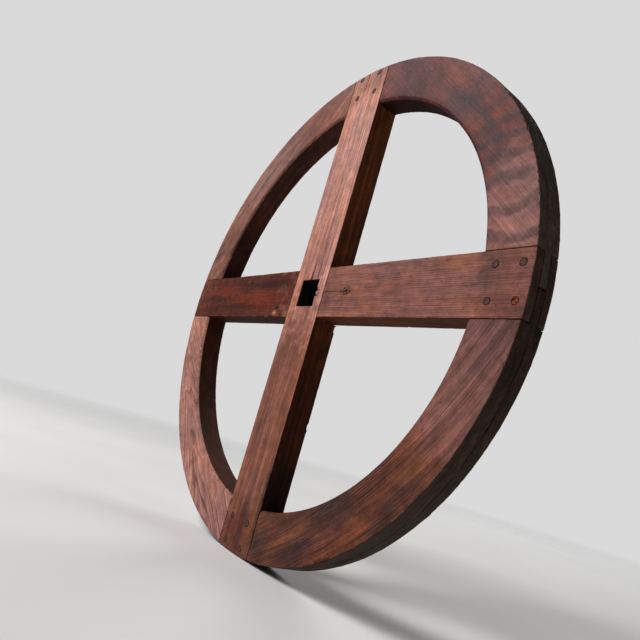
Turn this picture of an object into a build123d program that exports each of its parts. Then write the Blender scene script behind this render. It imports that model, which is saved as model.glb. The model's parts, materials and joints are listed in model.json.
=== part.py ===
from build123d import *
import os

# Drive wheel of a hand spinning wheel: four felloes pegged into the forked ends of two
# arms, which are halved across each other around a square axle mortise.
# The wheel's axle lies along Y, and its front face looks along -Y. Sizes are in millimetres.

# Driving dimensions
outer_diameter = 606.0
rim_width = 53.0
thickness = 31.5
vertical_arm_width = 63.5
horizontal_arm_width = 61.0
mortise_side = 33.0

# Bridle joint between a felloe's tongue and the fork in an arm's end
tongue_front = 11.0      # depth from the front face to the tongue
tongue_thickness = 10.5
tongue_end_gap = 1.2     # between the ends of the two tongues that meet in a fork

# Pegs, four to a fork
peg_diameter = 6.6
peg_spread = 33.0        # between the two pegs of a pair, across the arm
peg_row_spacing = 27.0   # between the outer pair and the inner pair, along the arm
# The sets were bored by eye, so each has its own distance from the outer pair to the end
# of the arm, and sits a little off the arm's centreline.
outer_peg_inset = {"top": 6.0, "right": 11.5, "bottom": 8.5, "left": 9.0}
peg_drift = {"top": -1.0, "right": 1.0, "bottom": -2.5, "left": 0.5}

# Softened edges
inner_front_chamfer = 3.0
rim_edge_chamfer = 1.0

# Clearances, each on one side
joint_clearance = 0.1
peg_clearance = 0.05

# Derived sizes
outer_radius = outer_diameter / 2
inner_radius = outer_radius - rim_width
front = -thickness / 2
back = thickness / 2
peg_radius = peg_diameter / 2
peg_hole_radius = peg_radius + peg_clearance
beyond = outer_radius + 10   # any length that reaches past the rim


def corner_height(arm_width):
    """Distance from the hub to where the rim's inner circle meets an arm's side."""
    half = arm_width / 2
    return (inner_radius**2 - half**2) ** 0.5


def depth_plane(depth):
    """The wheel's plane at a depth along Y, with X across and Z up."""
    return Plane.XZ.offset(-depth)


def peg_points(joint):
    """Centres of a joint's pegs as (x, z), by the name of each peg."""
    outward = outer_radius - outer_peg_inset[joint]
    rows = {"outer": outward, "inner": outward - peg_row_spacing}
    half = peg_spread / 2
    points = {}
    for row, along in rows.items():
        if joint in ("top", "bottom"):
            height = along if joint == "top" else -along
            points[f"peg_{joint}_{row}_left"] = (peg_drift[joint] - half, height)
            points[f"peg_{joint}_{row}_right"] = (peg_drift[joint] + half, height)
        else:
            across = along if joint == "right" else -along
            points[f"peg_{joint}_{row}_lower"] = (across, peg_drift[joint] - half)
            points[f"peg_{joint}_{row}_upper"] = (across, peg_drift[joint] + half)
    return points


pegs = {}
for joint in peg_drift:
    pegs.update(peg_points(joint))

os.makedirs("parts", exist_ok=True)


def finish(part, name):
    """Labels a finished piece and writes it to its own file."""
    part.label = name
    export_step(part, f"parts/{name}.step")


def bore_pegs(blank):
    """The piece with the hole of every peg that passes through it."""
    with BuildPart() as bored:
        add(blank)
        with BuildSketch(Plane.XZ):
            with Locations(*pegs.values()):
                Circle(peg_hole_radius)
        extrude(amount=thickness, both=True, mode=Mode.SUBTRACT)
    return bored.part


# One felloe, upper right: a quarter of the rim between the arms' shoulders, with a tongue
# at both ends that reaches almost to the middle of each arm.
shoulder_x = vertical_arm_width / 2 + joint_clearance
shoulder_z = horizontal_arm_width / 2 + joint_clearance
tongue_start = tongue_end_gap / 2
tongue_floor_x = corner_height(horizontal_arm_width) + joint_clearance
tongue_floor_z = corner_height(vertical_arm_width) + joint_clearance

with BuildPart() as felloe_pattern:
    with BuildSketch(Plane.XZ):
        Circle(outer_radius)
        Circle(inner_radius, mode=Mode.SUBTRACT)
        with Locations((shoulder_x, shoulder_z)):
            Rectangle(beyond, beyond, align=(Align.MIN, Align.MIN), mode=Mode.INTERSECT)
    extrude(amount=thickness / 2, both=True)
    arcs = felloe_pattern.edges().filter_by(GeomType.CIRCLE).group_by(SortBy.RADIUS)
    inner_front = arcs[0].sort_by(Axis.Y)[0]
    inner_back = arcs[0].sort_by(Axis.Y)[-1]
    outer_arcs = arcs[-1]
    chamfer(inner_front, inner_front_chamfer)
    chamfer([inner_back] + outer_arcs, rim_edge_chamfer)
    with BuildSketch(depth_plane(front + tongue_front + joint_clearance)):
        with Locations((tongue_start, tongue_floor_z)):
            Rectangle(shoulder_x, beyond, align=(Align.MIN, Align.MIN))
        with Locations((tongue_floor_x, tongue_start)):
            Rectangle(beyond, shoulder_z, align=(Align.MIN, Align.MIN))
        Circle(outer_radius, mode=Mode.INTERSECT)
    extrude(amount=-(tongue_thickness - 2 * joint_clearance))

upper_right = felloe_pattern.part
upper_left = mirror(upper_right, about=Plane.YZ)
felloes = {
    "felloe_upper_right": upper_right,
    "felloe_upper_left": upper_left,
    "felloe_lower_right": mirror(upper_right, about=Plane.XY),
    "felloe_lower_left": mirror(upper_left, about=Plane.XY),
}
for name, blank in felloes.items():
    finish(bore_pegs(blank), name)


def make_arm(width, crossing_width, halved_from, halved_to):
    """An arm that stands along Z, forked at both ends, halved and mortised at the hub.

    The halving takes the wood away between two depths, where the other arm crosses."""
    slot_floor = corner_height(width)
    with BuildPart() as arm:
        with BuildSketch(Plane.XZ):
            Circle(outer_radius)
            Rectangle(width, 2 * beyond, mode=Mode.INTERSECT)
        extrude(amount=thickness / 2, both=True)
        chamfer(arm.edges().filter_by(GeomType.CIRCLE), rim_edge_chamfer)
        with BuildSketch(depth_plane(front + tongue_front)):
            with Locations((0, slot_floor), (0, -slot_floor - beyond)):
                Rectangle(2 * width, beyond, align=(Align.CENTER, Align.MIN))
        extrude(amount=-tongue_thickness, mode=Mode.SUBTRACT)
        with BuildSketch(depth_plane(halved_from)):
            Rectangle(2 * width, crossing_width + 2 * joint_clearance)
        extrude(amount=halved_from - halved_to, mode=Mode.SUBTRACT)
        with BuildSketch(Plane.XZ):
            Rectangle(mortise_side, mortise_side)
        extrude(amount=thickness, both=True, mode=Mode.SUBTRACT)
    return arm.part


# The vertical arm is whole at the front of the hub, and the horizontal arm at its back.
# Where they meet, each stops half a clearance short of mid-thickness.
lap = joint_clearance / 2
upright = make_arm(vertical_arm_width, horizontal_arm_width, -lap, back)
crossing = make_arm(horizontal_arm_width, vertical_arm_width, front, lap)
finish(bore_pegs(upright), "arm_vertical")
finish(bore_pegs(crossing.rotate(Axis.Y, 90)), "arm_horizontal")

# Pegs run through front cheek, tongue and back cheek, flush with both faces.
for name, (x, z) in pegs.items():
    with BuildPart() as peg:
        with BuildSketch(Plane.XZ):
            with Locations((x, z)):
                Circle(peg_radius)
        extrude(amount=thickness / 2, both=True)
    finish(peg.part, name)
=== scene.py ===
# %% [markdown]
# # A drive wheel of boards, arms and pegs
#
# The object is the big wooden wheel of a hand spinning wheel. Four curved boards, the felloes,
# make the rim. Their ends are thinned to tongues, and the tongues sit in the forked ends of two
# arms. The arms are halved across each other round a square hole for the axle, and sixteen
# wooden pegs lock the four joints.
#
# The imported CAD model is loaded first, as a fixed frame. Nothing in it is moved. Every board
# that is made here stands for one CAD node and takes its size from that node's box.

# %% Load the frame and read the sizes that every board shares
import json
import math
import random

import bmesh
import bpy
from mathutils import Matrix, Vector

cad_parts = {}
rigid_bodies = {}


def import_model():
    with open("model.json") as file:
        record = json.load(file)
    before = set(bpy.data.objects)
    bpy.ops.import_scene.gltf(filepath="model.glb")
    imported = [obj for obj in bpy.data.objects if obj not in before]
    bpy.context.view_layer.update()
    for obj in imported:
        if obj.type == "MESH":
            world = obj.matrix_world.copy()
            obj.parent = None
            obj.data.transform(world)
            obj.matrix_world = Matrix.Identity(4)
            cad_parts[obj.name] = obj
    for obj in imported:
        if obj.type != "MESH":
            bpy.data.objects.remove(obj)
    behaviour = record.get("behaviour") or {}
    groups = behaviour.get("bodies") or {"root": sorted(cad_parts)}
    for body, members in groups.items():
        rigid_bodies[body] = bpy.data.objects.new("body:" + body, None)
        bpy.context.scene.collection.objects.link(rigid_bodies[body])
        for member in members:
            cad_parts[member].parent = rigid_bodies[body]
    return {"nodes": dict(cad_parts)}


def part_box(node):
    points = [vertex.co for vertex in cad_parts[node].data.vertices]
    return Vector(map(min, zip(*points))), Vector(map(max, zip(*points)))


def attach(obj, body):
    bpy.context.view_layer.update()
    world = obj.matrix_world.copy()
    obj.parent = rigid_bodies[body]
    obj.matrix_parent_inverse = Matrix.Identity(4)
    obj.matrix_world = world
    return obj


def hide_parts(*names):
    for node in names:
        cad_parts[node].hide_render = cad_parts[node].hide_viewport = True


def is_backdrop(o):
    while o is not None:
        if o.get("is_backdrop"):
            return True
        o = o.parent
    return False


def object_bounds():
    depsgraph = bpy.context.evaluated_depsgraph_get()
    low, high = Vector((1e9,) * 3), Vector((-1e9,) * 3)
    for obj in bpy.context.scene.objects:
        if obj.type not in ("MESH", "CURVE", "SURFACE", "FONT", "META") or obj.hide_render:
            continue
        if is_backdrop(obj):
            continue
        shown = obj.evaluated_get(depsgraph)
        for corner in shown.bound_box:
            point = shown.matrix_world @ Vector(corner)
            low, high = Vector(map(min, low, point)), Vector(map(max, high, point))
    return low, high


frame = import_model()
cad_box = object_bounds()

MM = 0.001
ROOT = "root"
radius = cad_box[1].x
half_thick = cad_box[1].y
upright_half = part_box("arm_vertical")[1].x
crossing_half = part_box("arm_horizontal")[1].z
rim_width = 53 * MM
inner_radius = radius - rim_width
print("wheel radius", round(radius, 4), "half thickness", round(half_thick, 5))
print("arms' half widths", round(upright_half, 5), round(crossing_half, 5))

# %% [markdown]
# ## The eye and the light
#
# The camera stands low, to the right of the wheel, and looks slightly up and across its face.
# It is rolled a little, as a hand-held camera is. It comes first, because every later choice
# about colour and shape is judged through it. Its place is given in wheel radii.

# %% Camera
EYE = Vector((1.8966, -1.2657, -0.5200)) * radius
AIM = Vector((0.0608, 0.0, -0.0947)) * radius
ROLL = math.radians(16.08)
LENS = 33.13

eye_data = bpy.data.cameras.new("eye")
eye_data.lens = LENS
eye_data.sensor_width = 36.0
eye_data.clip_start = 0.01
eye = bpy.data.objects.new("eye", eye_data)
bpy.context.scene.collection.objects.link(eye)
facing = (AIM - EYE).to_track_quat("-Z", "Y").to_matrix().to_4x4()
eye.matrix_world = facing @ Matrix.Rotation(ROLL, 4, "Z")
eye.location = EYE
bpy.context.scene.camera = eye
print("eye at", [round(c, 3) for c in eye.location], "lens", LENS)

# %% [markdown]
# The light is one large soft lamp, high on the left and in front, so that the faces are bright
# and every surface that looks right or down falls into shade. Three weaker lamps help it: one
# behind the wheel keeps its back readable, a low one at the left softens the shade, and one at
# the far right gives the outer edge a faint shine. The world gives a dim even light, and the
# camera alone sees it as plain pale grey.

# %% Lamps and world
bpy.context.scene.view_settings.view_transform = "Standard"

# Name, place, target, size in metres and power in watts
LAMPS = [
    ("window", (-1.05, -1.95, 1.85), (0, 0, 0.05), 1.5, 84),
    ("behind", (-0.9, 1.9, 1.2), (0, 0, 0), 1.2, 18),
    ("low_left", (-2.2, -1.3, 0.2), (0, 0, -0.1), 1.6, 5),
    ("rim", (2.1, 0.9, 1.5), (0, 0, 0), 1.2, 4),
]
for name, place, target, size, power in LAMPS:
    bulb = bpy.data.lights.new(name, "AREA")
    bulb.shape = "SQUARE"
    bulb.size = size
    bulb.energy = power
    lamp = bpy.data.objects.new(name, bulb)
    lamp.location = place
    lamp.rotation_euler = (Vector(target) - Vector(place)).to_track_quat("-Z", "Y").to_euler()
    bpy.context.scene.collection.objects.link(lamp)

LIT = 0.05      # the even grey light that the world gives
SEEN = 0.70     # the grey that the camera sees behind the wheel
world = bpy.data.worlds.new("studio")
world.use_nodes = True
bpy.context.scene.world = world
sky = world.node_tree
sky.nodes.clear()
ray = sky.nodes.new("ShaderNodeLightPath")
either = sky.nodes.new("ShaderNodeMixShader")
out = sky.nodes.new("ShaderNodeOutputWorld")
sky.links.new(ray.outputs["Is Camera Ray"], either.inputs[0])
for number, grey in ((1, LIT), (2, SEEN)):
    even = sky.nodes.new("ShaderNodeBackground")
    even.inputs["Color"].default_value = (grey, grey, grey, 1.0)
    sky.links.new(even.outputs[0], either.inputs[number])
sky.links.new(either.outputs[0], out.inputs[0])
print("lamps:", len(LAMPS))

# %% [markdown]
# ## Helpers for shaping
#
# Each board is roughed out from a primitive and then cut, as on a bench. An operator acts on
# whatever is selected, so these helpers first clear the selection and then take only the piece
# in hand. Faces and points are picked by where they are.


# %% Picking and editing
def take(piece):
    """Selects this piece and nothing else."""
    for other in bpy.context.scene.objects:
        other.select_set(False)
    piece.select_set(True)
    bpy.context.view_layer.objects.active = piece
    return piece


def open_up(piece, mode="VERT"):
    """Goes into edit mode on a piece, with nothing picked."""
    take(piece)
    bpy.ops.object.mode_set(mode="EDIT")
    bpy.ops.mesh.select_mode(type=mode)
    bpy.ops.mesh.select_all(action="DESELECT")


def close_up():
    """Leaves edit mode."""
    bpy.ops.object.mode_set(mode="OBJECT")


def pick(piece, wanted, kind="verts"):
    """Picks the points or faces whose middle passes a test."""
    shape = bmesh.from_edit_mesh(piece.data)
    for part in getattr(shape, kind):
        middle = part.co if kind == "verts" else part.calc_center_median()
        part.select_set(bool(wanted(middle)))
    shape.select_flush_mode()
    bmesh.update_edit_mesh(piece.data)


def pick_all():
    """Picks everything in the mesh that is being edited."""
    bpy.ops.mesh.select_all(action="SELECT")


def settle(piece):
    """Applies place, turn and size, so that the piece's place is in its mesh."""
    take(piece)
    bpy.ops.object.transform_apply(location=True, rotation=True, scale=True)
    return piece


DOUBLED = 0.002 * MM


def faces_out(piece):
    """Merges doubled points and turns every face outwards."""
    open_up(piece)
    pick_all()
    bpy.ops.mesh.remove_doubles(threshold=DOUBLED)
    bpy.ops.mesh.normals_make_consistent(inside=False)
    close_up()


def copy_of(piece, name):
    """A copy of a piece with its own mesh."""
    twin = piece.copy()
    twin.data = piece.data.copy()
    twin.name = name
    bpy.context.scene.collection.objects.link(twin)
    return twin


def apply_to(piece, modifier):
    """Makes what a modifier does part of the piece's mesh."""
    take(piece)
    bpy.ops.object.modifier_apply(modifier=modifier.name)


def box_of(piece):
    """Lowest and highest corner of a piece's own points."""
    points = [point.co for point in piece.data.vertices]
    lowest = Vector([min(p[i] for p in points) for i in range(3)])
    highest = Vector([max(p[i] for p in points) for i in range(3)])
    return lowest, highest


def open_edges(piece):
    """How many edges don't lie between exactly two faces."""
    shape = bmesh.new()
    shape.from_mesh(piece.data)
    count = sum(1 for edge in shape.edges if len(edge.link_faces) != 2)
    shape.free()
    return count


# %% [markdown]
# A saw cut, a mortise and a bored hole are all the same thing here: a tool with the shape of
# the waste, and a Boolean modifier that takes the tool away from the board.


# %% Cutting tools
def block(low, high):
    """A box between two corners."""
    low, high = Vector(low), Vector(high)
    bpy.ops.mesh.primitive_cube_add(size=1, location=(low + high) / 2, scale=high - low)
    return settle(bpy.context.active_object)


def join_up(pieces):
    """Several tools as one mesh. They don't overlap each other."""
    take(pieces[0])
    for piece in pieces:
        piece.select_set(True)
    if len(pieces) > 1:
        bpy.ops.object.join()
    return bpy.context.active_object


def cut(piece, tool, how="DIFFERENCE"):
    """Takes the tool away from the piece, or keeps only what is inside it."""
    carve = piece.modifiers.new("carve", "BOOLEAN")
    carve.operation = how
    carve.solver = "EXACT"
    carve.object = tool
    apply_to(piece, carve)
    bpy.data.objects.remove(tool)


# %% [markdown]
# ## One felloe
#
# A felloe is a flat board sawn to a quarter of the rim. Its section is a plain rectangle with
# eased corners, and a wider chamfer runs round the inner front edge. So the section is drawn
# first, as a plane with bevelled corners, and then spun a quarter turn about the axle.
# Seventy steps keep the ring's points clear of the lines where the shoulders are cut.

# %% Section of the rim, spun a quarter turn
STEPS = 70
EASED = 1.0 * MM
INNER_CHAMFER = 3.0 * MM
SLOPE_EASE = 0.5 * MM
slope_end = INNER_CHAMFER * 1.01

bpy.ops.mesh.primitive_plane_add(
    size=1, location=(inner_radius + rim_width / 2, 0, 0))
felloe = bpy.context.active_object
felloe.scale = (rim_width, 2 * half_thick, 1)
settle(felloe)
open_up(felloe)
pick(felloe, lambda p: p.x > inner_radius + MM or p.y > 0)
bpy.ops.mesh.bevel(offset=EASED, segments=3, affect="VERTICES")
pick(felloe, lambda p: p.x < inner_radius + MM and p.y < -half_thick + MM)
bpy.ops.mesh.bevel(offset=INNER_CHAMFER, segments=1, affect="VERTICES")
pick(felloe, lambda p: p.x < inner_radius + slope_end and p.y < -half_thick + slope_end)
bpy.ops.mesh.bevel(offset=SLOPE_EASE, segments=2, affect="VERTICES")
pick_all()
bpy.ops.mesh.spin(steps=STEPS, angle=math.pi / 2, center=(0, 0, 0), axis=(0, 1, 0))
close_up()
faces_out(felloe)
print("felloe blank", [round(c, 4) for c in felloe.dimensions], "open edges", open_edges(felloe))

# %% [markdown]
# The ends are now cut to tongues. A tongue is a third of the board's thickness, it stops just
# short of the arm's middle, and its lower edge is straight, because the fork's floor is.

# %% Tongues at both ends
JOINT_GAP = 0.1 * MM
TONGUE_FRONT = 11.0 * MM
TONGUE_THICK = 10.5 * MM
TONGUE_END = 0.6 * MM
cheek_front = -half_thick + TONGUE_FRONT + JOINT_GAP
cheek_back = -half_thick + TONGUE_FRONT + TONGUE_THICK - JOINT_GAP
BEYOND = 20 * MM


def fork_floor(half_width):
    """Where a fork's floor crosses the arm: level with the rim's inner edge at the arm's sides."""
    return math.sqrt(inner_radius ** 2 - half_width ** 2)


open_up(felloe)
for way in ((1, 0, 0), (0, 0, 1)):
    pick_all()
    bpy.ops.mesh.bisect(
        plane_co=Vector(way) * TONGUE_END, plane_no=way, use_fill=True, clear_inner=True)
close_up()
faces_out(felloe)

far, low, deep = radius + BEYOND, inner_radius - BEYOND, half_thick + BEYOND
shoulder_x = upright_half + JOINT_GAP
shoulder_z = crossing_half + JOINT_GAP
floor_top = fork_floor(upright_half) + JOINT_GAP
floor_side = fork_floor(crossing_half) + JOINT_GAP
for waste in (
    ((-BEYOND, -deep, low), (shoulder_x, cheek_front, far)),
    ((-BEYOND, cheek_back, low), (shoulder_x, deep, far)),
    ((-BEYOND, -deep, low), (shoulder_x, deep, floor_top)),
    ((low, -deep, -BEYOND), (far, cheek_front, shoulder_z)),
    ((low, cheek_back, -BEYOND), (far, deep, shoulder_z)),
    ((low, -deep, -BEYOND), (floor_side, deep, shoulder_z)),
):
    cut(felloe, block(*waste))
print("felloe", len(felloe.data.polygons), "faces, open edges", open_edges(felloe))

# %% [markdown]
# The other three felloes are the same board turned over: one copy is mirrored left to right,
# and the two upper ones are then mirrored top to bottom. Each copy has its own mesh, because
# each gets its own peg holes, chips and checks.


# %% Four felloes
def mirrored(piece, name, across):
    """A copy of a piece, flipped by a size of -1 along one axis."""
    twin = copy_of(piece, name)
    open_up(twin)
    pick_all()
    bpy.ops.transform.resize(value=across, center_override=(0, 0, 0))
    close_up()
    faces_out(twin)
    return twin


felloe.name = "rim_board_upper_right"
rim_boards = {"felloe_upper_right": felloe}
rim_boards["felloe_upper_left"] = mirrored(felloe, "rim_board_upper_left", (-1, 1, 1))
rim_boards["felloe_lower_right"] = mirrored(felloe, "rim_board_lower_right", (1, 1, -1))
upper_left = rim_boards["felloe_upper_left"]
rim_boards["felloe_lower_left"] = mirrored(upper_left, "rim_board_lower_left", (1, 1, -1))
for node_name, piece in rim_boards.items():
    lowest, highest = box_of(piece)
    print(node_name, "middle", [round(c, 3) for c in (lowest + highest) / 2])

# %% [markdown]
# ## The arms
#
# An arm is a straight board whose ends follow the rim. It starts as a box and is kept only
# inside a disc of the wheel's size, which gives the curved ends their eased edges. Then come
# the fork slots, the halving and the square mortise.

# %% Two arms
MORTISE = 33.0 * MM
LAP = 0.05 * MM
AT_FACE = 0.1 * MM


def wheel_disc():
    """A disc of the whole wheel's size, with eased edges."""
    bpy.ops.mesh.primitive_cylinder_add(
        vertices=4 * STEPS, radius=radius, depth=2 * half_thick, rotation=(math.pi / 2, 0, 0))
    disc = settle(bpy.context.active_object)
    open_up(disc, "FACE")
    pick(disc, lambda p: abs(abs(p.y) - half_thick) < AT_FACE, "faces")
    bpy.ops.mesh.region_to_loop()
    bpy.ops.mesh.bevel(offset=EASED, segments=3, affect="EDGES")
    close_up()
    return disc


def arm(name, half_width, other_half, upright):
    """An arm along Z, or along X, with its forks, its halving and its share of the mortise."""
    def corner(along, depth, across):
        return (across, depth, along) if upright else (along, depth, across)

    long = radius + BEYOND
    board = block(corner(-long, -half_thick, -half_width), corner(long, half_thick, half_width))
    board.name = name
    cut(board, wheel_disc(), "INTERSECT")
    slot_front = -half_thick + TONGUE_FRONT
    slot_back = slot_front + TONGUE_THICK
    floor = fork_floor(half_width)
    wide = half_width + BEYOND
    for first, last in ((floor, long), (-long, -floor)):
        cut(board, block(corner(first, slot_front, -wide), corner(last, slot_back, wide)))
    lap = other_half + JOINT_GAP
    from_depth, to_depth = (-LAP, deep) if upright else (-deep, LAP)
    cut(board, block(corner(-lap, from_depth, -wide), corner(lap, to_depth, wide)))
    cut(board, block((-MORTISE / 2, -deep, -MORTISE / 2), (MORTISE / 2, deep, MORTISE / 2)))
    print(name, [round(c, 4) for c in board.dimensions], "open edges", open_edges(board))
    return board


arms = {
    "arm_vertical": arm("upright_arm", upright_half, crossing_half, True),
    "arm_horizontal": arm("crossing_arm", crossing_half, upright_half, False),
}
boards = {**rim_boards, **arms}

# %% [markdown]
# ## Peg holes
#
# The holes go straight through the cheeks and the tongues together, because the real ones were
# bored with the joint closed. Each hole's place is read from the box of its peg's CAD node.

# %% Bore the holes
PEG_PLAY = 0.05 * MM
BIT_SIDES = 28
peg_nodes = sorted(name for name in frame["nodes"] if name.startswith("peg_"))
peg_spots = {}
for name in peg_nodes:
    near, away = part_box(name)
    peg_spots[name] = (near + away) / 2
peg_radius = (away.x - near.x) / 2


def drill(spots):
    """A bundle of round bits, one at each spot."""
    bits = []
    for spot in spots:
        bpy.ops.mesh.primitive_cylinder_add(
            vertices=BIT_SIDES, radius=peg_radius + PEG_PLAY, depth=2 * deep,
            location=(spot.x, 0, spot.z), rotation=(math.pi / 2, 0, 0))
        bits.append(settle(bpy.context.active_object))
    return join_up(bits)


for node_name, piece in boards.items():
    lowest, highest = box_of(piece)
    passing = [
        spot for spot in peg_spots.values()
        if all(lowest[i] < spot[i] < highest[i] for i in (0, 2))
    ]
    if node_name == "arm_vertical":
        passing = [spot for spot in passing if abs(spot.z) > abs(spot.x)]
    if node_name == "arm_horizontal":
        passing = [spot for spot in passing if abs(spot.x) > abs(spot.z)]
    cut(piece, drill(passing))
    print(node_name, "holes", len(passing), "open edges", open_edges(piece))

# %% [markdown]
# ## Eased edges
#
# Every edge that a saw or chisel left sharp has been rubbed round by now. A Bevel modifier finds
# those edges by their angle. The rim's own edges were already eased in its section.

# %% Ease the cut edges
CUT_EASE = 0.35 * MM
SHARP = math.radians(36)

for piece in boards.values():
    rounding = piece.modifiers.new("ease", "BEVEL")
    rounding.width = CUT_EASE
    rounding.segments = 2
    rounding.limit_method = "ANGLE"
    rounding.angle_limit = SHARP
    rounding.use_clamp_overlap = False
    apply_to(piece, rounding)
    print(piece.name, "eased:", len(piece.data.polygons), "faces")

# %% [markdown]
# ## Chips, splits and checks
#
# A chip is a flake that has come off a corner. Its tool is a small ball, stretched along the
# corner and roughened. A split is a thin blade that narrows to a point. A drying check is such
# a blade again, bent round the rim's outer edge.

# %% A flake for one chip
dice = random.Random(11)
PEBBLY = 0.22


def flake(place, along, length, depth, seed):
    """A rough pebble, stretched along a direction, centred on a place."""
    bpy.ops.mesh.primitive_ico_sphere_add(subdivisions=2, radius=1)
    pebble = bpy.context.active_object
    open_up(pebble)
    pick_all()
    bpy.ops.transform.vertex_random(offset=PEBBLY, seed=seed)
    close_up()
    pebble.scale = (length / 2, depth, depth)
    pebble.rotation_euler = Vector(along).to_track_quat("X", "Z").to_euler()
    pebble.location = place
    return settle(pebble)


def at_rim(angle, reach, depth):
    """A point at an angle round the wheel, a distance from the axle and a depth."""
    turn = math.radians(angle)
    return Vector((reach * math.cos(turn), depth, reach * math.sin(turn)))


def round_rim(angle):
    """The direction along the rim at an angle."""
    turn = math.radians(angle)
    return Vector((-math.sin(turn), 0, math.cos(turn)))


front, back = -half_thick, half_thick
print("front face at", round(front, 5), "back face at", round(back, 5))

# %% Chips along the rim
# Board, first and last angle, how many, distance from the axle, face, and the longest and the
# deepest chip in millimetres
RIM_CHIPS = [
    ("felloe_upper_right", 8, 42, 17, radius, front, 6, 1.3),
    ("felloe_upper_right", 46, 82, 6, radius, front, 5, 0.9),
    ("felloe_upper_left", 100, 168, 7, radius, front, 5, 1.0),
    ("felloe_upper_left", 102, 170, 6, inner_radius, back, 5, 1.0),
    ("felloe_lower_left", 205, 216, 3, inner_radius + 1.5 * MM, front, 6, 2.0),
    ("felloe_lower_left", 190, 262, 6, radius, back, 7, 1.2),
    ("felloe_lower_right", -53, -12, 7, radius, front, 5, 1.0),
    ("felloe_lower_right", -60, -20, 5, radius, back, 9, 1.6),
]
SHORTEST = 0.35
SHALLOWEST = 0.4
for board, first, last, count, reach, depth, longest, deepest in RIM_CHIPS:
    tools = []
    step = (last - first) / count
    for number in range(count):
        angle = first + step * (number + 0.25 + 0.5 * dice.random())
        length = longest * MM * dice.uniform(SHORTEST, 1.0)
        bite = deepest * MM * dice.uniform(SHALLOWEST, 1.0)
        spot = at_rim(angle, reach, depth)
        tools.append(flake(spot, round_rim(angle), length, bite, dice.randrange(999)))
    cut(rim_boards[board], join_up(tools))

# One long chip has gone from the foot of the lower right felloe.
CHIP_ANGLE = -60.5
chip_spot = at_rim(CHIP_ANGLE, radius - 0.6 * MM, front)
cut(rim_boards["felloe_lower_right"], flake(chip_spot, round_rim(CHIP_ANGLE), 25 * MM, 2.6 * MM, 5))
print("chips on the rim:", 1 + sum(row[3] for row in RIM_CHIPS))

# %% Chips along the arms
fore, aft = front / MM, back / MM
v_side, h_side = upright_half / MM, crossing_half / MM
# Place along, across and in depth, then length and bite, all in millimetres
ARM_CHIPS = {
    "arm_vertical": [
        (-35.5, v_side, aft, 9, 2.2), (-205, v_side, fore, 12, 1.1), (-222, v_side, fore, 7, 1.5),
        (-238, v_side, fore, 10, 1.2), (-252, v_side, fore, 6, 1.4), (120, v_side, fore, 5, 1.0),
        (205, -v_side, fore, 6, 1.0), (-90, -v_side, fore, 5, 0.9), (60, -v_side, aft, 8, 1.6),
        (-150, v_side, aft, 10, 1.4), (4, 17.6, fore, 6, 1.6), (-3, 17.2, fore, 4, 1.2),
    ],
    "arm_horizontal": [
        (-70, -h_side, fore, 6, 1.2), (110, h_side, fore, 5, 0.9), (205, -h_side, fore, 6, 1.0),
        (-190, h_side, fore, 7, 1.1), (-60, h_side, aft, 9, 1.5), (150, -h_side, aft, 8, 1.3),
        (-221, -h_side, aft, 7, 1.4),
    ],
}
for board, chips in ARM_CHIPS.items():
    upright = board == "arm_vertical"
    way = (0, 0, 1) if upright else (1, 0, 0)
    tools = []
    for along, across, depth, length, bite in chips:
        spot = (across, depth, along) if upright else (along, depth, across)
        tools.append(flake(Vector(spot) * MM, way, length * MM, bite * MM, dice.randrange(999)))
    cut(arms[board], join_up(tools))
    print(board, "chips", len(chips))

# %% [markdown]
# The blade for a split starts as a box. Its long side is cut into short lengths, and the points
# at each length are then moved and narrowed, so that the split wanders as grain does.

# %% A blade for one split
THINNEST = 0.06 * MM
FOOT = 0.4          # how wide a blade is at its foot, against its mouth
WANDER = 0.22       # how far it strays sideways, against its width
PROUD = 0.2         # the part of it that stands out of the face
DEEPER = 1.25       # makes up for that part


def sliver(start, end, width, deep_in, lengths, seed, both_ends=True):
    """A blade that wanders from start to end on the front face, all in millimetres.

    It narrows to a point at both its ends, or at its end alone."""
    rng = random.Random(seed)
    start, end = Vector((start[0], 0, start[1])) * MM, Vector((end[0], 0, end[1])) * MM
    width, deep_in = width * MM, deep_in * MM
    run = end - start
    side = run.normalized().cross(Vector((0, 1, 0)))
    lie = block((0, 0, 0), (1, 1, 1))
    open_up(lie)
    for number in range(1, lengths):
        pick_all()
        bpy.ops.mesh.bisect(plane_co=(number / lengths, 0, 0), plane_no=(1, 0, 0))
    close_up()
    wander = [rng.uniform(-WANDER, WANDER) * width for _ in range(lengths + 1)]
    for point in lie.data.vertices:
        share = point.co.x
        number = round(share * lengths)
        swell = math.sin(math.pi * share) if both_ends else 1.0 - share
        half = max(0.5 * width * swell, THINNEST) * (1.0 if point.co.y < 0.5 else FOOT)
        middle = start + run * share + side * wander[number]
        depth = front + (point.co.y - PROUD) * deep_in * DEEPER
        point.co = middle + side * half * (2 * point.co.z - 1) + Vector((0, depth, 0))
    faces_out(lie)
    return lie


# %% Splits in the arms, and the knot
mortise_edge = MORTISE / 2 / MM
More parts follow.
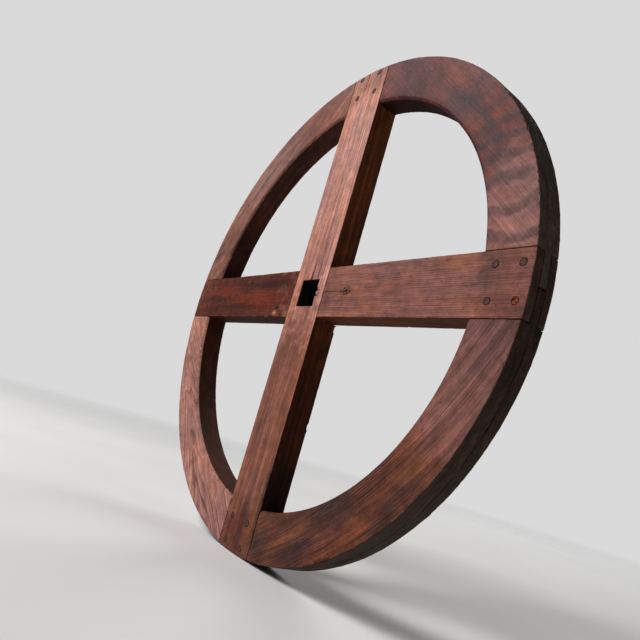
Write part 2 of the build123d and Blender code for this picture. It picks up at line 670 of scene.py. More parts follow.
# Start, end, width, depth, how many lengths, and a seed
SPLITS = {
    "arm_vertical": [
        ((-0.8, mortise_edge - 1.5), (0.9, 38.0), 3.6, 9, 9, 3, False),
        ((18.4, 20.5), (18.9, 25.5), 0.9, 3, 3, 4),
        ((19.2, 2.4), (23.8, 2.8), 0.6, 1.6, 4, 8),
        ((19.0, -0.9), (24.6, -0.5), 0.5, 1.4, 5, 9),
        ((19.4, -3.8), (22.8, -4.1), 0.6, 1.6, 3, 10),
        ((-3.0, 300.0), (-5.5, 276.0), 0.45, 2, 6, 5),
        ((21.5, 301.0), (20.0, 284.0), 0.4, 2, 5, 6),
        ((6.0, 262.0), (4.5, 240.0), 0.35, 1.5, 5, 7),
    ],
    "arm_horizontal": [
        ((61.5, 0.2), (67.0, -0.3), 0.4, 1.5, 3, 21),
        ((34.0, 0.6), (60.0, 0.1), 0.22, 1.2, 8, 24),
        ((-64.0, -20.0), (-55.0, -17.0), 0.7, 2, 4, 25),
        ((-147.0, 17.0), (-139.0, 19.0), 0.5, 1.5, 4, 26),
    ],
}
for board, splits in SPLITS.items():
    cut(arms[board], join_up([sliver(*split) for split in splits]))
    print(board, "splits", len(splits))

# The knot is a cluster of small pits: place on the face and length, in millimetres.
KNOT = [(73.5, 0.2, 3.6), (77.4, 2.6, 2.4), (79.6, -0.9, 1.9), (76.0, -3.4, 2.6),
        (71.6, -4.0, 1.9), (70.3, 3.2, 2.2), (74.6, 5.0, 1.6), (69.0, -0.9, 1.5)]
PIT_DEPTH = 0.32
pits = []
for number, (x, z, size) in enumerate(KNOT):
    spot = Vector((x * MM, front, z * MM))
    pits.append(flake(spot, (1, 0, 0.2), size * MM, PIT_DEPTH * size * MM, number))
cut(arms["arm_horizontal"], join_up(pits))
print("knot of", len(pits), "pits")

# %% [markdown]
# The long checks run near the middle of the outer edge, where the outside of the board dried
# faster than its heart. A triangle, wide at the surface and sharp inside, is spun round the
# axle for each length, strays a little, and is drawn together to a point at both ends.

# %% Drying checks on the outer edge
STEP_ANGLE = 1.6
STRAY = 1.3
OUTSIDE = 1.5 * MM
NARROWEST = 0.05


def rim_check(first, last, depth, width, reach_in, seed):
    """A sliver that follows the outer edge from one angle to another, sizes in millimetres."""
    depth, width, reach_in = depth * MM, width * MM, reach_in * MM
    steps = max(4, int(abs(last - first) / STEP_ANGLE))
    sweep = math.radians(last - first)
    swing = math.radians(first)
    mouth = radius + OUTSIDE
    bpy.ops.mesh.primitive_circle_add(vertices=3, radius=1, fill_type="NGON")
    blade = settle(bpy.context.active_object)
    corners = [(radius - reach_in, depth, 0), (mouth, depth - width / 2, 0),
               (mouth, depth + width / 2, 0)]
    for point, corner in zip(blade.data.vertices, corners):
        point.co = corner
    open_up(blade)
    pick_all()
    bpy.ops.mesh.spin(steps=steps, angle=sweep, center=(0, 0, 0), axis=(0, 1, 0))
    close_up()
    rng = random.Random(seed)
    wander = [rng.uniform(-0.5, 0.5) * STRAY * MM for _ in range(steps + 1)]
    for point in blade.data.vertices:
        angle = math.atan2(point.co.z, point.co.x)
        share = abs(angle) / abs(sweep)
        number = min(steps, round(share * steps))
        narrow = max(NARROWEST, math.sin(math.pi * min(1.0, share)) ** 0.5)
        off = (point.co.y - depth) * narrow + wander[number]
        outside = math.hypot(point.co.x, point.co.z) > radius
        reach = mouth if outside else radius - reach_in * narrow
        turned = angle + swing
        point.co = (reach * math.cos(turned), depth + off, reach * math.sin(turned))
    faces_out(blade)
    return blade


# First and last angle, place in the thickness, width, depth, and a seed
RIM_CHECKS = {
    "felloe_lower_right": [
        (-6.8, -15.5, 1.4, 1.1, 5, 31), (-17.0, -30.5, 1.6, 1.2, 6, 32),
        (-31.5, -41.0, 2.1, 0.9, 5, 33), (-43.0, -52.0, 1.7, 0.8, 4, 34),
        (-54.0, -61.0, 2.2, 0.6, 3, 35),
    ],
    "felloe_upper_right": [(12.0, 21.0, -5.0, 0.5, 3, 36), (28.0, 44.0, 4.0, 0.5, 3, 37)],
    "felloe_upper_left": [(112.0, 131.0, 2.0, 0.6, 3, 38)],
    "felloe_lower_left": [(214.0, 238.0, -3.0, 0.6, 3, 39)],
}
for board, checks in RIM_CHECKS.items():
    cut(rim_boards[board], join_up([rim_check(*check) for check in checks]))
    print(board, "drying checks", len(checks))

# %% [markdown]
# ## Wear
#
# Old hand-planed boards are never quite flat, and their corners are rubbed and nibbled. So each
# board is sliced into small cells, to have points to move, and two Displace modifiers push
# points inwards only: broad shallow waves over the whole board, and a fine uneven wear that
# acts on the corners alone.

# %% Slices and corners
CELL = 5.0 * MM
FIRST_CUT = 0.63 * CELL
CORNER_TURN = math.radians(12)


def slice_up(piece):
    """Cuts the piece's faces along evenly spaced planes, without parting it."""
    lowest, highest = box_of(piece)
    open_up(piece)
    for axis in (0, 1, 2):
        direction = Vector((0, 0, 0))
        direction[axis] = 1
        place = lowest[axis] + FIRST_CUT
        while place < highest[axis]:
            pick_all()
            bpy.ops.mesh.bisect(plane_co=direction * place, plane_no=direction)
            place += CELL
    close_up()


def mark_corners(piece):
    """A vertex group of the points where the surface turns sharply."""
    group = piece.vertex_groups.new(name="corners")
    limit = math.cos(CORNER_TURN)
    shape = bmesh.new()
    shape.from_mesh(piece.data)
    found = []
    for point in shape.verts:
        normals = [face.normal for face in point.link_faces]
        if any(a.dot(b) < limit for a in normals for b in normals):
            found.append(point.index)
    shape.free()
    group.add(found, 1.0, "REPLACE")
    return len(found)


for piece in boards.values():
    slice_up(piece)
    print(piece.name, len(piece.data.polygons), "faces,", mark_corners(piece), "corner points")

# %% Wear
WAVE, WAVE_DEPTH = 34 * MM, 0.45 * MM
NIBBLE, NIBBLE_DEPTH = 5.5 * MM, 0.55 * MM
SHAVING = 0.02 * MM
SMOOTH_TURN = math.radians(24)


for name, size in (("waves", WAVE), ("nibbles", NIBBLE)):
    pattern = bpy.data.textures.new(name, "CLOUDS")
    pattern.noise_scale = size
    pattern.noise_depth = 2


def push_in(piece, pattern, depth, group=""):
    """Moves points inwards by up to a depth, as a pattern says."""
    push = piece.modifiers.new("push", "DISPLACE")
    push.texture = bpy.data.textures[pattern]
    push.texture_coords = "LOCAL"
    push.direction = "NORMAL"
    push.mid_level = 1.0
    push.strength = depth
    push.vertex_group = group
    apply_to(piece, push)


def plane_off(piece, node_name):
    """Presses back every point that the wear pushed past the board's own box."""
    lowest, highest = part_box(node_name)
    for point in piece.data.vertices:
        for axis in (0, 1, 2):
            inside = max(point.co[axis], lowest[axis] + SHAVING)
            point.co[axis] = min(inside, highest[axis] - SHAVING)


def smooth(piece):
    """Soft shading over the waves, sharp shading at the corners."""
    take(piece)
    bpy.ops.object.shade_smooth_by_angle(angle=SMOOTH_TURN)


for node_name, piece in boards.items():
    push_in(piece, "waves", WAVE_DEPTH)
    push_in(piece, "nibbles", NIBBLE_DEPTH, "corners")
    piece.vertex_groups.clear()
    plane_off(piece, node_name)
    smooth(piece)
    print(piece.name, "open edges", open_edges(piece))

# %% [markdown]
# ## Pegs
#
# The pegs were split and whittled, so they are not quite round, and they have shrunk a little
# below the face. One peg is modelled: a cylinder whose caps are inset three times, the last time
# with a sunken middle, and whose rims are then eased. It is copied to every hole with its own
# turn, ovalness and depth.

# %% One peg
INSETS = [(0.35 * MM, 0.0), (0.55 * MM, 0.0), (1.1 * MM, -0.12 * MM)]
PEG_EASE = 0.25 * MM
CLOSE = 0.01 * MM

bpy.ops.mesh.primitive_cylinder_add(
    vertices=24, radius=peg_radius, depth=2 * half_thick, end_fill_type="NGON",
    rotation=(math.pi / 2, 0, 0))
peg = settle(bpy.context.active_object)
peg.name = "peg_pattern"
open_up(peg, "FACE")
for side in (-1, 1):
    pick(peg, lambda p: abs(p.y - side * half_thick) < CLOSE, "faces")
    for width, lift in INSETS:
        bpy.ops.mesh.inset(thickness=width, depth=lift)
close_up()
for point in peg.data.vertices:
    across = math.hypot(point.co.x, point.co.z)
    if across > peg_radius - 5 * CLOSE and abs(point.co.y) > half_thick - CLOSE:
        point.co.y *= (half_thick - PEG_EASE) / half_thick
print("peg", len(peg.data.polygons), "faces, open edges", open_edges(peg))

# %% Sixteen pegs
CHIPPED_PEG = "peg_right_outer_lower"
WHITTLED = 0.035 * MM
OVAL = (0.95, 0.99)
WIDE = (0.97, 0.995)
SUNK = (0.03, 0.25)
pegs = {}
for name in peg_nodes:
    spot = peg_spots[name]
    twin = copy_of(peg, name.replace("peg_", "wooden_peg_"))
    oval = dice.uniform(*OVAL)
    sunk = dice.uniform(*SUNK) * MM
    twin.scale = (oval, 1.0 - sunk / half_thick, dice.uniform(*WIDE))
    twin.rotation_euler = (0, dice.uniform(0, math.tau), 0)
    twin.location = (spot.x, 0, spot.z)
    settle(twin)
    open_up(twin)
    pick_all()
    bpy.ops.transform.vertex_random(offset=WHITTLED, seed=dice.randrange(999))
    close_up()
    pegs[name] = twin
bpy.data.objects.remove(peg)

broken = pegs[CHIPPED_PEG]
home = peg_spots[CHIPPED_PEG]
cut(broken, join_up([
    flake(home + Vector((-1.3 * MM, front, 1.1 * MM)), (1, 0, 1), 4.2 * MM, 1.5 * MM, 61),
    flake(home + Vector((1.9 * MM, front, -1.7 * MM)), (1, 0, -1), 3.0 * MM, 0.8 * MM, 62),
]))
for piece in pegs.values():
    smooth(piece)
print("pegs:", len(pegs))

# %% [markdown]
# ## Wood
#
# Wood is a solid, so its pattern is solid too. A tree is a stack of cones: from a point inside
# the board to the heart of the tree is a distance, and every growth ring adds one step to it.
# If that distance is worked out in space, the face, the edge and the end grain of a board all
# agree, whatever the cut. The helpers below keep each formula to one line. They all add their
# nodes to the tree in hand, which is that of the finish begun last.


# %% Helpers for materials
def shade(code):
    """A colour from its hexadecimal code, made linear for the shader."""
    parts = [int(code[i:i + 2], 16) / 255 for i in (0, 2, 4)]
    return [((c + 0.055) / 1.055) ** 2.4 if c > 0.04045 else c / 12.92 for c in parts] + [1.0]


def new_finish(name):
    """A new finish, its shader and the point in space that it reads. Its tree is now in hand."""
    global tree
    finish = bpy.data.materials.new(name)
    finish.use_nodes = True
    tree = finish.node_tree
    place = tree.nodes.new("ShaderNodeTexCoord").outputs["Object"]
    return finish, tree.nodes["Principled BSDF"], place


def feed(socket, value):
    """Links a socket to a socket, or gives it a fixed value."""
    if isinstance(value, bpy.types.NodeSocket):
        tree.links.new(value, socket)
    else:
        socket.default_value = value


def calc(how, *values, clamp=False):
    """A sum on numbers."""
    made = tree.nodes.new("ShaderNodeMath")
    made.operation = how
    made.use_clamp = clamp
    for socket, value in zip(made.inputs, values):
        feed(socket, value)
    return made.outputs[0]


def times(one, other, clamp=False):
    """One number times another."""
    return calc("MULTIPLY", one, other, clamp=clamp)


def scaled(value, by, plus, clamp=False):
    """A number times another, with a third added."""
    return calc("MULTIPLY_ADD", value, by, plus, clamp=clamp)


def vector(how, *values):
    """A sum on points in space. A length or a dot product comes out as a number."""
    made = tree.nodes.new("ShaderNodeVectorMath")
    made.operation = how
    for socket, value in zip(made.inputs, values):
        feed(socket, value)
    return made.outputs[1 if how in ("LENGTH", "DOT_PRODUCT") else 0]


def layer(share, under, over, how="MIX"):
    """One colour laid over another by a share from 0 to 1."""
    made = tree.nodes.new("ShaderNodeMix")
    made.data_type = "RGBA"
    made.blend_type = how
    for number, value in ((0, share), (6, under), (7, over)):
        feed(made.inputs[number], value)
    return made.outputs[2]


def ease_in(value, start, end):
    """0 before start, 1 after end, soft between. Start may be the larger of the two."""
    made = tree.nodes.new("ShaderNodeMapRange")
    made.interpolation_type = "SMOOTHSTEP"
    feed(made.inputs["Value"], value)
    made.inputs["From Min"].default_value = start
    made.inputs["From Max"].default_value = end
    return made.outputs[0]


def cloud(where, sizes, detail=4.0, rough=0.55, colour=False):
    """Noise in space, with its own repeats per metre along each axis."""
    stretched = tree.nodes.new("ShaderNodeMapping")
    feed(stretched.inputs["Vector"], where)
    stretched.inputs["Scale"].default_value = sizes
    made = tree.nodes.new("ShaderNodeTexNoise")
    feed(made.inputs["Vector"], stretched.outputs[0])
    made.inputs["Scale"].default_value = 1.0
    made.inputs["Detail"].default_value = detail
    made.inputs["Roughness"].default_value = rough
    return made.outputs["Color" if colour else "Fac"]


def ramp(value, stops):
    """A scale of greys with stops of (place, grey)."""
    made = tree.nodes.new("ShaderNodeValToRGB")
    feed(made.inputs[0], value)
    while len(made.color_ramp.elements) < len(stops):
        made.color_ramp.elements.new(0.5)
    for stop, (place, grey) in zip(made.color_ramp.elements, stops):
        stop.position = place
        stop.color = (grey, grey, grey, 1.0)
    return made.outputs[0]


RELIEF = 0.7


def relief(shader, height, depth):
    """Lets a pattern of heights catch the light, as if it were cut to a depth."""
    bump = tree.nodes.new("ShaderNodeBump")
    bump.inputs["Strength"].default_value = RELIEF
    bump.inputs["Distance"].default_value = depth
    feed(bump.inputs["Height"], height)
    feed(shader.inputs["Normal"], bump.outputs[0])


# %% [markdown]
# `board_space` turns the wheel's own coordinates into a board's: along the grain, across it and
# through the thickness. `rings` measures the distance to the heart, which climbs a little along
# the board, since no tree is straight, and gives each ring its pale early wood and thin dark
# late wood.

# %% Grain
DRIFT = (5, 26, 26)
SEASON = (0, 55, 55)
SEASON_SHARE = 1.6
GROWTH = [(0.0, 0.35), (0.07, 0.0), (0.5, 0.16), (0.78, 0.6), (0.9, 1.0), (1.0, 0.5)]


def board_space(place, grain, bow):
    """The point in a board whose grain lies at an angle on the wheel's face, and its three parts.

    A bow bends the grain sideways by its value times the square of the distance along."""
    turn = math.radians(grain)
    along = vector("DOT_PRODUCT", place, (math.cos(turn), 0, math.sin(turn)))
    across = vector("DOT_PRODUCT", place, (-math.sin(turn), 0, math.cos(turn)))
    depth = vector("DOT_PRODUCT", place, (0, 1, 0))
    joined = tree.nodes.new("ShaderNodeCombineXYZ")
    bent = scaled(times(along, along), bow, across)
    for socket, value in zip(joined.inputs, (along, bent, depth)):
        feed(socket, value)
    return joined.outputs[0], along, across, depth


def rings(board, along, heart, spacing, climb, wander):
    """How dark the ring is at each point, from 0 in early wood to 1 in late wood."""
    drift = cloud(board, DRIFT, 2.0, 0.5, colour=True)
    drift = vector("SUBTRACT", drift, (0.5, 0.5, 0.5))
    drift = vector("MULTIPLY", drift, (0.0, wander * MM, wander * MM))
    lean = tree.nodes.new("ShaderNodeCombineXYZ")
    feed(lean.inputs["Z"], times(along, climb))
    from_heart = vector("SUBTRACT", board, (0.0, heart[0] * MM, heart[1] * MM))
    from_heart = vector("ADD", from_heart, drift)
    from_heart = vector("ADD", from_heart, lean.outputs[0])
    from_heart = vector("MULTIPLY", from_heart, (0.0, 1.0, 1.0))
    year = calc("DIVIDE", vector("LENGTH", from_heart), spacing * MM)
    year = calc("ADD", year, times(cloud(from_heart, SEASON, 1.0), SEASON_SHARE))
    good_year = tree.nodes.new("ShaderNodeTexWhiteNoise")
    good_year.noise_dimensions = "1D"
    feed(good_year.inputs["W"], calc("FLOOR", year))
    growth = ramp(calc("FRACT", year), GROWTH)
    return times(growth, scaled(good_year.outputs[0], 0.75, 0.4), clamp=True)


# %% [markdown]
# Stains, old patches, knots and two pale patches of painted sheen are ellipses with a ragged edge.
# Each is given by its place on the wheel's face, its two half lengths and its turn, in millimetres
# and degrees, and by how soft its edge is. Its colour and its strength come after that.

# %% Patches
RAGGED = 1.3
BRIM = 1.65


def patch(place, rag, spot):
    """1 inside a ragged ellipse on the wheel's face, 0 outside."""
    x, z, length, width, turn, softness = spot
    made = tree.nodes.new("ShaderNodeMapping")
    made.vector_type = "TEXTURE"
    feed(made.inputs["Vector"], place)
    made.inputs["Location"].default_value = (x * MM, 0, z * MM)
    made.inputs["Rotation"].default_value = (0, -math.radians(turn), 0)
    made.inputs["Scale"].default_value = (length * MM, 1.0, width * MM)
    reach = vector("LENGTH", vector("MULTIPLY", made.outputs[0], (1.0, 0.0, 1.0)))
    reach = calc("ADD", reach, times(rag, RAGGED))
    return ease_in(reach, BRIM + softness, BRIM - softness)


def patches(colour, place, rag, spots):
    """Lays every patch over a colour."""
    for spot, tone, strength in spots:
        colour = layer(times(patch(place, rag, spot), strength), colour, shade(tone))
    return colour


# %% [markdown]
# The corners of a board are rubbed paler, which also stands in for a painted highlight on the
# rounding, and dirt darkens the outer edge that hands and cord touched. The arms' sides and the
# felloes' inner edge are darkened by painted shade and some dirt, and the mortise's walls and the
# inner chamfer by painted shade. All are found by distance: how far a point is from the nearest
# corner, and whether it lies on the outer edge, on the inner edge, on an arm's side or in the
# mortise.


# %% Distances to corners
def gaps(place, across, depth, half_width):
    """Distances to the rim's outer edge, to the side, to the nearer face and to a corner.

    The side is an arm's long side, or a felloe's inner edge if it has no half width."""
    reach = vector("LENGTH", vector("MULTIPLY", place, (1.0, 0.0, 1.0)))
    outer = calc("SUBTRACT", radius, reach)
    if half_width:
        side = calc("SUBTRACT", half_width, calc("ABSOLUTE", across))
    else:
        side = calc("SUBTRACT", reach, inner_radius)
    face = calc("SUBTRACT", half_thick, calc("ABSOLUTE", depth))
    nearest = calc("MINIMUM", times(outer, outer), times(side, side))
    return outer, side, face, calc("SQRT", scaled(face, face, nearest))


def from_hub(place):
    """Distance from the hub, measured squarely, so that the mortise's walls are all as far."""
    parts = tree.nodes.new("ShaderNodeSeparateXYZ")
    feed(parts.inputs[0], vector("ABSOLUTE", place))
    return calc("MAXIMUM", parts.outputs["X"], parts.outputs["Z"])


# %% [markdown]
# The wood's own colour is built up as it came about: rings, a warm glow, and the stain that old
# lacquer left in clouds. One board also has dark and pale waves across its grain. Fibres,
# streaks, pores, blots and nicks then lighten or darken whatever lies below them.

# %% Colour and texture of the wood
# Repeats per metre along, across and through the board, then the noise's detail and roughness
FIBRE = ((22, 850, 850), 3.0, 0.6)
STREAK = ((5, 130, 130), 3.0, 0.6)
PORE = ((260, 3200, 3200), 1.0)
MOTTLE = ((14, 34, 34), 6.0, 0.66)
GLOW = ((9, 42, 42), 6.0, 0.64)
DUST_AND_SHEEN = ((90, 420, 420), 4.0, 0.7)
# These lie in the wheel's own space, so they don't follow the grain
SMUDGE = ((75, 75, 75), 5.0, 0.68)
RAG = ((70, 70, 70), 4.0, 0.6)
NICK = ((300, 300, 300), 2.0, 0.5)
WAVER = ((11, 11, 11), 4.0, 0.6)

# The waves run square to this direction, one every 24 mm, inside this patch
WAVE_WAY = (-0.26, 0, 0.966)
WAVE_LENGTH = 24 * MM
WAVE_BEND = 60 * MM
WAVE_PATCH = (262, 105, 85, 125, 0, 0.5)

# Where each pattern starts to count, and where it counts in full
WARM_FROM, STAIN_FROM = (0.42, 0.62), (0.44, 0.64)
PALE_FROM, PALE_WHERE = (-0.2, -0.95), (0.36, 0.6)
DARK_FROM, DARK_WHERE = (-0.5, 1.0), (0.32, 0.56)
PORE_FROM, NICK_FROM = (0.58, 0.70), (0.66, 0.74)
DUST_AND_SHEEN_FROM, RUB_AND_HIGHLIGHT_FROM = (0.5, 0.66), (0.44, 0.62)


def wood_tone(ring, mottle, glow, tones, shares):
    """Rings, then the warm glow, then the stain."""
    early, late, warm, stain = [shade(tone) for tone in tones]
    ring_share, warm_share, stain_share = shares
    dark = times(times(ring, scaled(mottle, 1.3, 0.25)), ring_share * 1.9, clamp=True)
    colour = layer(dark, early, late)
    colour = layer(times(ease_in(glow, *WARM_FROM), warm_share), colour, warm)
    return layer(times(ease_in(mottle, *STAIN_FROM), stain_share), colour, stain)


def cross_waves(colour, place, rag, smudge, glow, bands, warm, stain):
    """Dark and pale waves that lie across the grain in one part of a board."""
    line = vector("DOT_PRODUCT", place, WAVE_WAY)
    line = calc("ADD", line, times(cloud(place, *WAVER), WAVE_BEND))
    wave = calc("SINE", times(line, math.tau / WAVE_LENGTH))
    where = patch(place, rag, WAVE_PATCH)
    pale = times(times(ease_in(wave, *PALE_FROM), where), ease_in(glow, *PALE_WHERE))
    dark = times(times(ease_in(wave, *DARK_FROM), where), ease_in(smudge, *DARK_WHERE))
    colour = layer(times(pale, 0.5 * bands), colour, shade(warm))
    return layer(times(dark, bands), colour, shade(stain))


def wood_texture(place, fibre, streak, pore, smudge, share):
    """How much the fibres and all that is finer lighten or darken the colour."""
    texture = scaled(streak, 2.0 * share, 1.0 - share)
    for other in (
        scaled(fibre, 2.4 * share, 1.0 - 1.2 * share),
        scaled(ease_in(pore, *PORE_FROM), -0.38, 1.0),
        scaled(smudge, 1.5, 0.25),
        scaled(ease_in(cloud(place, *NICK), *NICK_FROM), -0.5, 1.0),
    ):
        texture = times(texture, other)
    return texture


# %% [markdown]
# `solid_wood` puts these together in this order: the wood's colour, stains and patches, fibres, a
# little dust with painted sheen, the sides darkened by painted shade and some dirt, the mortise's
# walls and the inner chamfer darkened by painted shade, the dirt on the outer edge, and last the
# rubbed corners, paler from wear and a painted highlight. Roughness and relief follow some of the
# same layers: the fibres stand up, and the dirty outer edge and the shaded sides are the dullest.

# %% The wood finish
# Near black painted shade for deep inside the mortise
MORTISE_SHADE = "120c0a"
# Greyish pink for specks of lacquer bloom and painted sheen
BLOOM_AND_SHEEN, BLOOM_AND_SHEEN_SHARE = "a08b84", 0.07
# The paler tone of rubbed corners: wear and a painted highlight
WORN_AND_HIGHLIGHT, WORN_AND_HIGHLIGHT_SHARE = "a87560", 0.42
# How much painted shade, with some dirt, darkens the sides
SIDE_SHADE_TONE = (0.15, 0.085, 0.05)
# How much painted shade dims the felloes' inner chamfer
SLOPE_SHADE_TONE = (0.8, 0.8, 0.8)
WALL = MORTISE / 2 + 0.25 * MM
SKIN = 13 * MM
DULLNESS = 0.39


def solid_wood(name, grain, heart, spacing, early, late, stain, warm, shares, half_width=0.0,
               climb=0.02, wander=5, fibre_share=1.0, bands=0.0, side_shade_tone=SIDE_SHADE_TONE,
               edge_tone="47352e", bow=0.0, polish=0.15, spots=()):
    """The finish of one board.

    The heart's place across and through the board, the rings' spacing and their wander are in
    millimetres. The shares are those of the rings, the warm glow and the stain."""
    finish, shader, place = new_finish(name)
    board, along, across, depth = board_space(place, grain, bow)
    ring = rings(board, along, heart, spacing, climb, wander)
    fibre, streak, pore, mottle = [cloud(board, *kind) for kind in (FIBRE, STREAK, PORE, MOTTLE)]
    # These three are read from other parts of space, so that no two clouds fall together.
    glow = cloud(vector("ADD", board, (3.1, 1.7, 0.4)), *GLOW)
    dust_and_sheen = cloud(vector("ADD", board, (0.7, 0.2, 1.9)), *DUST_AND_SHEEN)
    smudge = cloud(vector("ADD", place, (1.3, 2.2, 0.6)), *SMUDGE)
    rag = cloud(place, *RAG)

    colour = wood_tone(ring, mottle, glow, (early, late, warm, stain), shares)
    colour = patches(colour, place, rag, spots)
    if bands:
        colour = cross_waves(colour, place, rag, smudge, glow, bands, warm, stain)
    texture = wood_texture(place, fibre, streak, pore, smudge, fibre_share)
    colour = layer(1.0, colour, texture, "MULTIPLY")
    # Fine greyish pink specks: lacquer bloom and painted sheen
    colour = layer(times(ease_in(dust_and_sheen, *DUST_AND_SHEEN_FROM), BLOOM_AND_SHEEN_SHARE), colour, shade(BLOOM_AND_SHEEN))

    outer, side, face, corner = gaps(place, across, depth, half_width)
    on_edge = ease_in(outer, 1.5 * MM, 0.5 * MM)
    # The arms' sides and the felloes' inner edge are darkened: painted shade, with some dirt
    on_shaded_side = ease_in(side, 1.0 * MM, 0.5 * MM)
    colour = layer(on_shaded_side, colour, layer(1.0, colour, [*side_shade_tone, 1.0], "MULTIPLY"))
    # Deep inside the mortise its walls are painted near black: painted shade in the recess
    if half_width:
        inside = ease_in(calc("ABSOLUTE", depth), SKIN + MM, SKIN)
        hub = scaled(inside, -1.5 * MM, from_hub(place))
        colour = layer(ease_in(hub, WALL + 0.25 * MM, WALL), colour, shade(MORTISE_SHADE))
    else:
        # The inner front chamfer is dimmed: painted shade
        slope = ease_in(calc("ADD", side, face), INNER_CHAMFER + 0.5 * MM, INNER_CHAMFER)
        shaded_slope = layer(1.0, colour, [*SLOPE_SHADE_TONE, 1.0], "MULTIPLY")
        colour = layer(calc("SUBTRACT", slope, on_shaded_side, clamp=True), colour, shaded_slope)
    dirt = times(on_edge, scaled(rag, 0.5, 0.72, clamp=True))
    colour = layer(dirt, colour, layer(1.0, shade(edge_tone), texture, "MULTIPLY"))
    # Corners are paler: wear, and a painted highlight on the rounding
    rub_and_highlight = times(ease_in(corner, 1.9 * MM, 0.4 * MM), ease_in(rag, *RUB_AND_HIGHLIGHT_FROM))
    feed(shader.inputs["Base Color"], layer(times(rub_and_highlight, WORN_AND_HIGHLIGHT_SHARE), colour, shade(WORN_AND_HIGHLIGHT)))

    dull = DULLNESS
    for pattern, share in ((fibre, 0.16), (mottle, 0.14), (on_edge, 0.16), (on_shaded_side, 0.2)):
        dull = scaled(pattern, share, dull, clamp=True)
    feed(shader.inputs["Roughness"], dull)
    shader.inputs["Specular IOR Level"].default_value = polish
    height = 0.0
    for pattern, share in ((ring, 0.35), (fibre, 0.9), (pore, 0.35), (rag, 0.6), (streak, 1.2)):
        height = scaled(pattern, share, height)
    relief(shader, height, 0.4 * MM)
    return finish


# %% [markdown]
# Each board came from its own plank, so each has its own cut and colour. The upright arm is
# pale and pinkish with straight grain. The left half of the crossing arm is a deep orange red.
# The upper right felloe is mottled with purple and crossed by dark waves, the lower right one is
# the darkest and shows its rings most, and the lower left one is pale with pointed loops.


# %% Finishes of the six boards
def dress(piece, finish):
    """Gives a piece one finish all over."""
    piece.data.materials.clear()
    piece.data.materials.append(finish)


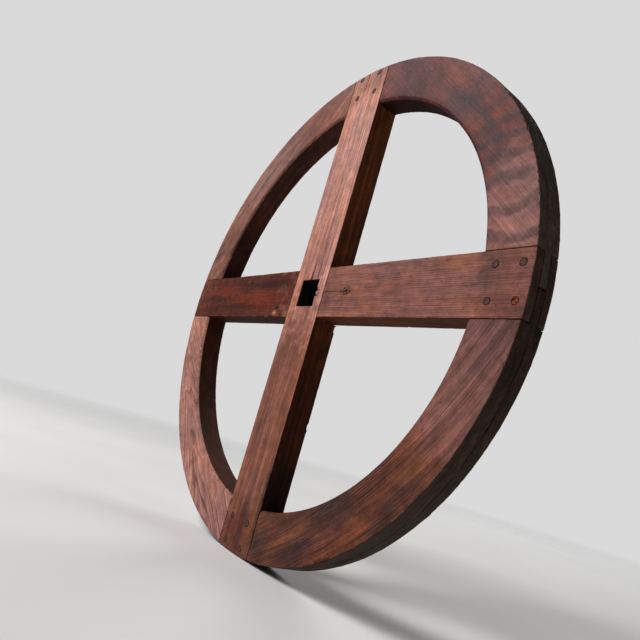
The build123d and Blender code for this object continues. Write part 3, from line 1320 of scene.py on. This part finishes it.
finishes = {
    "felloe_upper_right": solid_wood(
        "wood_upper_right", -45, (-60, 130), 3.2,
        early="6a2f28", late="3b1816", stain="371d20", warm="7b2d13", shares=(0.24, 0.6, 0.7),
        bands=0.7, wander=9, edge_tone="52453e", fibre_share=0.7,
        spots=[
            # A pale grey patch: painted sheen
            ((276, 70, 44, 60, 0, 0.5), "9c6a61", 0.75),
            ((166, 199, 36, 24, 20, 0.5), "3b2027", 0.7),
            ((157, 240, 34, 11, -45, 0.5), "79351d", 0.6),
            ((60, 268, 30, 20, 0, 0.6), "703731", 0.4),
            ((98, 256, 44, 34, -20, 0.5), "451b1e", 0.55),
        ]),
    "felloe_upper_left": solid_wood(
        "wood_upper_left", 45, (90, 120), 3.0,
        early="895947", late="5f3a36", stain="563736", warm="925337", shares=(0.5, 0.6, 0.65),
        side_shade_tone=(0.19, 0.12, 0.08),
        spots=[
            # A pale grey pink patch: painted sheen
            ((-198, 198, 70, 44, 45, 0.8), "97736d", 0.4),
            ((-92, 262, 42, 34, 20, 0.5), "7e4038", 0.35),
        ]),
    "felloe_lower_left": solid_wood(
        "wood_lower_left", -45, (-268, 30), 2.6,
        early="b27d71", late="60372f", stain="7d524e", warm="c07d5f", shares=(0.65, 0.5, 0.45),
        climb=0.07, fibre_share=0.7,
        spots=[
            ((-143, -244, 30, 3, -48, 0.6), "4b2826", 0.5),
            ((-176, -203, 16, 4, -45, 0.5), "5c342f", 0.35),
            ((-225, -130, 20, 5, -50, 0.6), "6a3f38", 0.35),
            ((-188, -188, 48, 34, -45, 0.4), "7c4c44", 0.22),
        ]),
    "felloe_lower_right": solid_wood(
        "wood_lower_right", 45, (-60, 50), 2.4,
        early="6c3927", late="321813", stain="311b1d", warm="8c4a27", shares=(0.85, 0.45, 0.5),
        wander=6, bow=-0.8, edge_tone="34271e",
        spots=[
            ((262, -90, 60, 62, 45, 0.35), "885a54", 0.66),
            ((148, -220, 30, 15, 45, 0.5), "2f1e1f", 0.7),
            ((210, -208, 16, 9, 45, 0.5), "2f1e1f", 0.6),
            ((40, -280, 20, 16, 20, 0.5), "2e1e1f", 0.7),
            ((106, -270, 22, 12, 30, 0.5), "33201f", 0.6),
            ((278, -56, 18, 7, 60, 0.6), "382329", 0.35),
            ((228, -184, 22, 10, 45, 0.5), "33201f", 0.5),
            ((90, -258, 30, 8, 40, 0.6), "894f2f", 0.5),
            ((232, -160, 22, 7, 45, 0.6), "804d33", 0.5),
        ]),
    "arm_vertical": solid_wood(
        "wood_upright", 90, (130, 40), 2.3,
        early="c78d80", late="7f493e", stain="8a5e5e", warm="d08560", shares=(0.55, 0.6, 0.5),
        half_width=upright_half, climb=0.006, wander=3, side_shade_tone=(0.28, 0.18, 0.075),
        spots=[
            ((0, -175, 60, 150, 0, 0.30), "622c0f", 0.75),
            ((0, -285, 50, 34, 0, 0.45), "501d06", 0.75),
            ((0, 292, 50, 26, 0, 0.5), "854d3b", 0.55),
            ((22, -252, 5, 62, 0, 0.6), "8d532b", 0.6),
            ((31, -232, 4, 36, 0, 0.6), "2d201d", 0.7),
            ((0, 40, 22, 40, 0, 0.5), "7d4b3b", 0.45),
        ]),
    "arm_horizontal": solid_wood(
        "wood_crossing", 0, (-150, 40), 1.9,
        early="946056", late="54312a", stain="5e4445", warm="a6603c", shares=(0.5, 0.45, 0.45),
        half_width=crossing_half, climb=0.008, wander=3, fibre_share=0.65, polish=0.08,
        side_shade_tone=(0.32, 0.20, 0.09),
        spots=[
            ((-175, 0, 150, 80, 0, 0.25), "461100", 0.9),
            ((-110, -6, 62, 10, 0, 0.9), "8d330f", 0.4),
            ((-215, 9, 45, 8, 0, 0.9), "7d2c0f", 0.4),
            ((-90, 14, 50, 4, 0, 0.8), "2b0f08", 0.6),
            ((-170, -15, 60, 5, 0, 0.8), "2b0f08", 0.6),
            ((-245, -4, 30, 4, 0, 0.8), "2f120a", 0.5),
            ((284, 0, 30, 50, 0, 0.5), "693c33", 0.5),
            ((260, 10, 15, 20, 0, 0.8), "45353a", 0.5),
            ((74, 0, 8, 4.5, 0, 0.7), "3a221e", 0.6),
            ((-284, 2, 26, 40, 0, 0.4), "6e392a", 0.4),
            ((-58.6, -18.6, 6, 4, 0, 0.6), "351b12", 0.8),
            ((-62, -25, 4, 3, 0, 0.6), "b27858", 0.7),
            ((-143, 18, 6, 3, 0, 0.6), "2d1713", 0.6),
            ((36, 0, 16, 22, 0, 0.6), "463432", 0.35),
        ]),
}
for node_name, finish in finishes.items():
    dress(boards[node_name], finish)
    print(finish.name, "has", len(finish.node_tree.nodes), "nodes")

# %% [markdown]
# A peg shows only end grain: fine pores and a few crescent rings, both filled with dirt. Three
# tones are needed, dark grey brown for most, wood brown for the left set, and a fresh orange
# for the one that has broken.

# %% Peg finish
PEG_PORE = ((1500, 60, 1500), 2.0, 0.6)
PEG_TIDE = ((260, 20, 90), 3.0, 0.6)
CRESCENTS = 9.0


def end_grain(name, tone, dark):
    """The finish of a peg's end."""
    finish, shader, place = new_finish(name)
    pore = cloud(place, *PEG_PORE)
    crescent = calc("FRACT", times(cloud(place, *PEG_TIDE), CRESCENTS))
    growth = ramp(crescent, [(0.0, 0.1), (0.7, 0.35), (1.0, 0.8)])
    colour = layer(growth, shade(tone), shade(dark))
    colour = layer(ease_in(pore, 0.52, 0.7), colour, shade(dark))
    feed(shader.inputs["Base Color"], colour)
    feed(shader.inputs["Roughness"], scaled(pore, 0.3, 0.5))
    shader.inputs["Specular IOR Level"].default_value = 0.25
    relief(shader, calc("ADD", pore, crescent), 0.2 * MM)
    return finish


dark_peg = end_grain("peg_dark", "53372f", "2c1c18")
brown_peg = end_grain("peg_brown", "5a2d1e", "30170f")
fresh_peg = end_grain("peg_fresh", "924418", "26100a")
for name, piece in pegs.items():
    tone = brown_peg if name.startswith("peg_left_") else dark_peg
    dress(piece, fresh_peg if name == CHIPPED_PEG else tone)
print("peg finishes:", len({piece.data.materials[0].name for piece in pegs.values()}))

# %% [markdown]
# ## Floor
#
# The wheel stands on a plain pale floor. It is a disc that fades out towards its edge, so that
# no horizon cuts across behind the wheel.

# %% Floor
FLOOR_REACH = 4.0
FADE = (0.75, 3.0)

bpy.ops.mesh.primitive_circle_add(
    vertices=96, radius=FLOOR_REACH, fill_type="NGON", location=(0, 0, -radius))
floor = settle(bpy.context.active_object)
floor.name = "floor"
paint, shader, place = new_finish("floor_paint")
worn_paint = cloud(place, (3, 3, 3), 5.0)
tone = layer(ease_in(worn_paint, 0.35, 0.7), shade("ecebea"), shade("f1f0ef"))
feed(shader.inputs["Base Color"], tone)
shader.inputs["Roughness"].default_value = 0.75
shader.inputs["Specular IOR Level"].default_value = 0.2
distance = vector("LENGTH", vector("MULTIPLY", place, (1, 1, 0)))
clear = tree.nodes.new("ShaderNodeBsdfTransparent")
fade = tree.nodes.new("ShaderNodeMixShader")
feed(fade.inputs[0], ease_in(distance, *FADE))
feed(fade.inputs[1], shader.outputs[0])
feed(fade.inputs[2], clear.outputs[0])
feed(tree.nodes["Material Output"].inputs["Surface"], fade.outputs[0])
dress(floor, paint)
floor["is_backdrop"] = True
print("floor at", round(-radius, 4))

# %% [markdown]
# ## Hand over
#
# Every piece rides on the wheel's one body, and the CAD node that it stands for is hidden. The two
# boxes are written out, so that the sizes can be compared.

# %% Ride and replace
for group, slot in ((rim_boards, "rim_wood"), (arms, "arm_wood"), (pegs, "peg_wood")):
    for node_name, piece in group.items():
        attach(piece, ROOT)
        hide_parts(node_name)

visual_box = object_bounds()
for name, box in (("CAD box", cad_box), ("visual box", visual_box)):
    print(name, [[round(v, 5) for v in corner] for corner in box])
